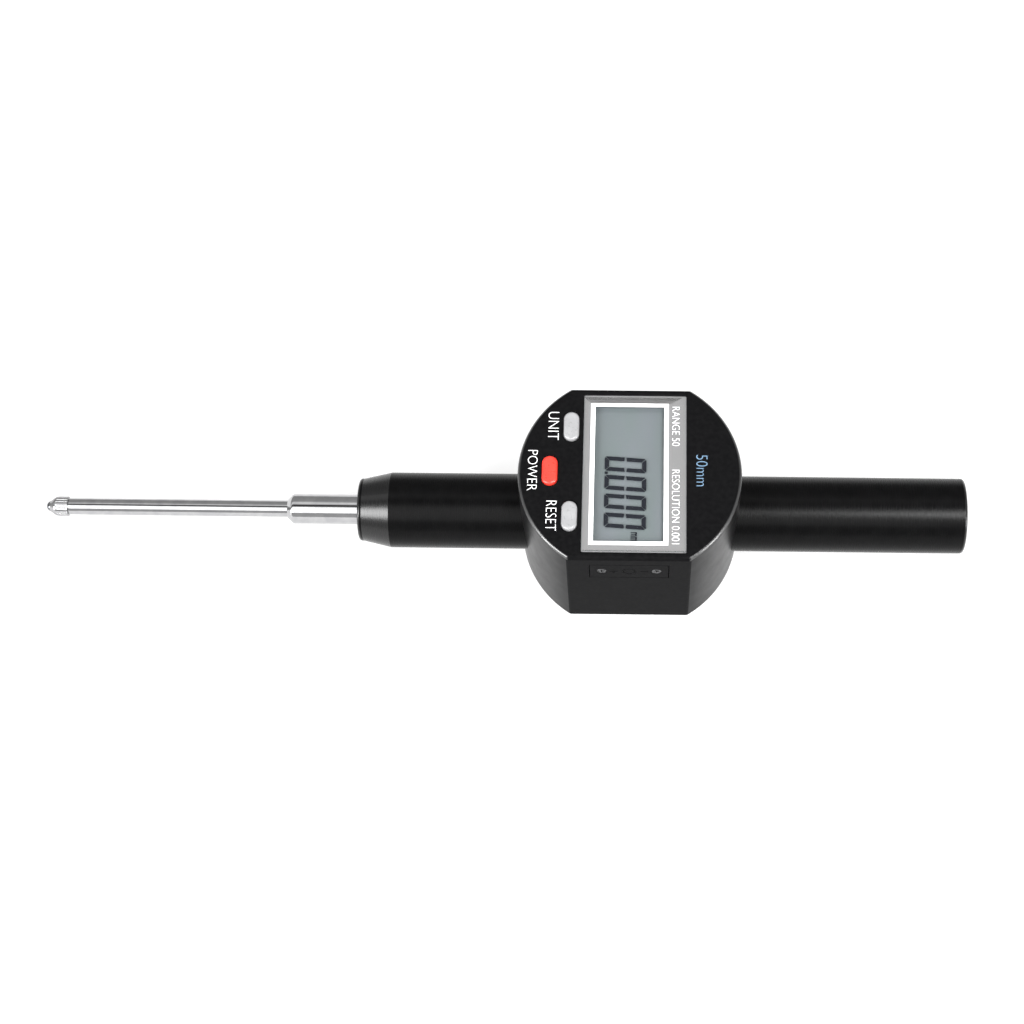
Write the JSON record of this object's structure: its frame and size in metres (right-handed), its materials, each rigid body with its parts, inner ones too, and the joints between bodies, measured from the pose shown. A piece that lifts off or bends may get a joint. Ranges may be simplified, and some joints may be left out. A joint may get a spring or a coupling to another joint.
{
  "type": "digital dial indicator",
  "caption": "Electronic plunger indicator: round case with two flats, display and keys on the face, clamping stem, long sprung spindle with a ball contact, and tubes in line on both sides.",
  "frame": {"origin": "on the spindle's axis, where the clamping stem meets the front sleeve", "axes": "+X along the spindle's axis to the closed end of the rear tube, +Z out of the display, Y along the display; it lies on the back of its case"},
  "size_m": [0.2443, 0.0486, 0.0379],
  "materials": {
    "case_black": "satin black",
    "tube_black": "turned and black anodised",
    "cover_black": "satin black",
    "window_clear": "clear moulded acrylic",
    "label_silver": "silver print with a white border",
    "lcd_glass": "clear",
    "lcd_grey": "grey-green film",
    "frame_plastic": "moulded",
    "zebra_rubber": "striped",
    "board_green": "solder mask",
    "chip_black": "epoxy",
    "key_grey": "light grey",
    "key_red": "red",
    "seal_rubber": "black",
    "spring_steel": "drawn wire",
    "polished_steel": "ground and polished",
    "screw_steel": "bright",
    "screw_black": "blackened",
    "ball_carbide": "lapped",
    "bush_bronze": "reamed",
    "plain_aluminium": "milled",
    "plain_plastic": "moulded",
    "cell_steel": "nickel plated",
    "contact_brass": "plated strip",
    "film_amber": "polyimide film"
  },
  "bodies": {
    "housing": {"front_case": "case_black", "rear_cover": "cover_black", "cover_gasket": "seal_rubber", "cover_screws": "screw_steel", "display_window": "window_clear", "label_film": "label_silver", "lcd_polariser": "lcd_grey", "lcd_front_glass": "lcd_glass", "lcd_rear_glass": "lcd_glass", "lcd_reflector": "lcd_grey", "lcd_frame": "frame_plastic", "zebra_strip": "zebra_rubber", "main_pcb": "board_green", "pcb_components": "chip_black", "pcb_screws": "screw_steel", "reader_pcb": "board_green", "reader_bracket": "plain_plastic", "ribbon_cable": "film_amber", "key_domes": "cell_steel", "keypad_seal": "seal_rubber", "battery_cell": "cell_steel", "battery_holder": "plain_plastic", "battery_contact_positive": "contact_brass", "battery_contact_negative": "contact_brass", "battery_door": "case_black", "door_gasket": "seal_rubber", "door_screws": "screw_black", "front_sleeve": "tube_black", "rear_tube": "tube_black", "tube_o_rings": "seal_rubber", "tube_set_screws": "screw_steel", "stem": "polished_steel", "rear_plug": "plain_plastic", "return_spring": "spring_steel", "stem_bush_front": "bush_bronze", "stem_bush_rear": "bush_bronze", "wiper_seal": "seal_rubber", "front_bumper": "seal_rubber", "rear_bumper": "seal_rubber", "guide_rod": "screw_steel"},
    "plunger": {"spindle": "polished_steel", "contact_point": "polished_steel", "contact_ball": "ball_carbide", "scale_carrier": "plain_aluminium", "scale_strip": "board_green", "carrier_set_screws": "screw_steel", "guide_fork": "plain_plastic"},
    "unit_key": {"key_unit": "key_grey"},
    "power_key": {"key_power": "key_red"},
    "zero_key": {"key_zero": "key_grey"}
  },
  "joints": [
    {"name": "spindle_slide", "type": "slide", "parent": "housing", "child": "plunger", "axis": [1, 0, 0], "range_m": [0, 0.0508], "stiffness_N_per_m": 15, "springref_m": -0.05, "deforming": ["return_spring"]},
    {"name": "unit_key_press", "type": "slide", "parent": "housing", "child": "unit_key", "axis": [0, 0, -1], "range_m": [0, 0.0004], "stiffness_N_per_m": 2500, "springref_m": -0.0004},
    {"name": "power_key_press", "type": "slide", "parent": "housing", "child": "power_key", "axis": [0, 0, -1], "range_m": [0, 0.0004], "stiffness_N_per_m": 2500, "springref_m": -0.0004},
    {"name": "zero_key_press", "type": "slide", "parent": "housing", "child": "zero_key", "axis": [0, 0, -1], "range_m": [0, 0.0004], "stiffness_N_per_m": 2500, "springref_m": -0.0004}
  ]
}
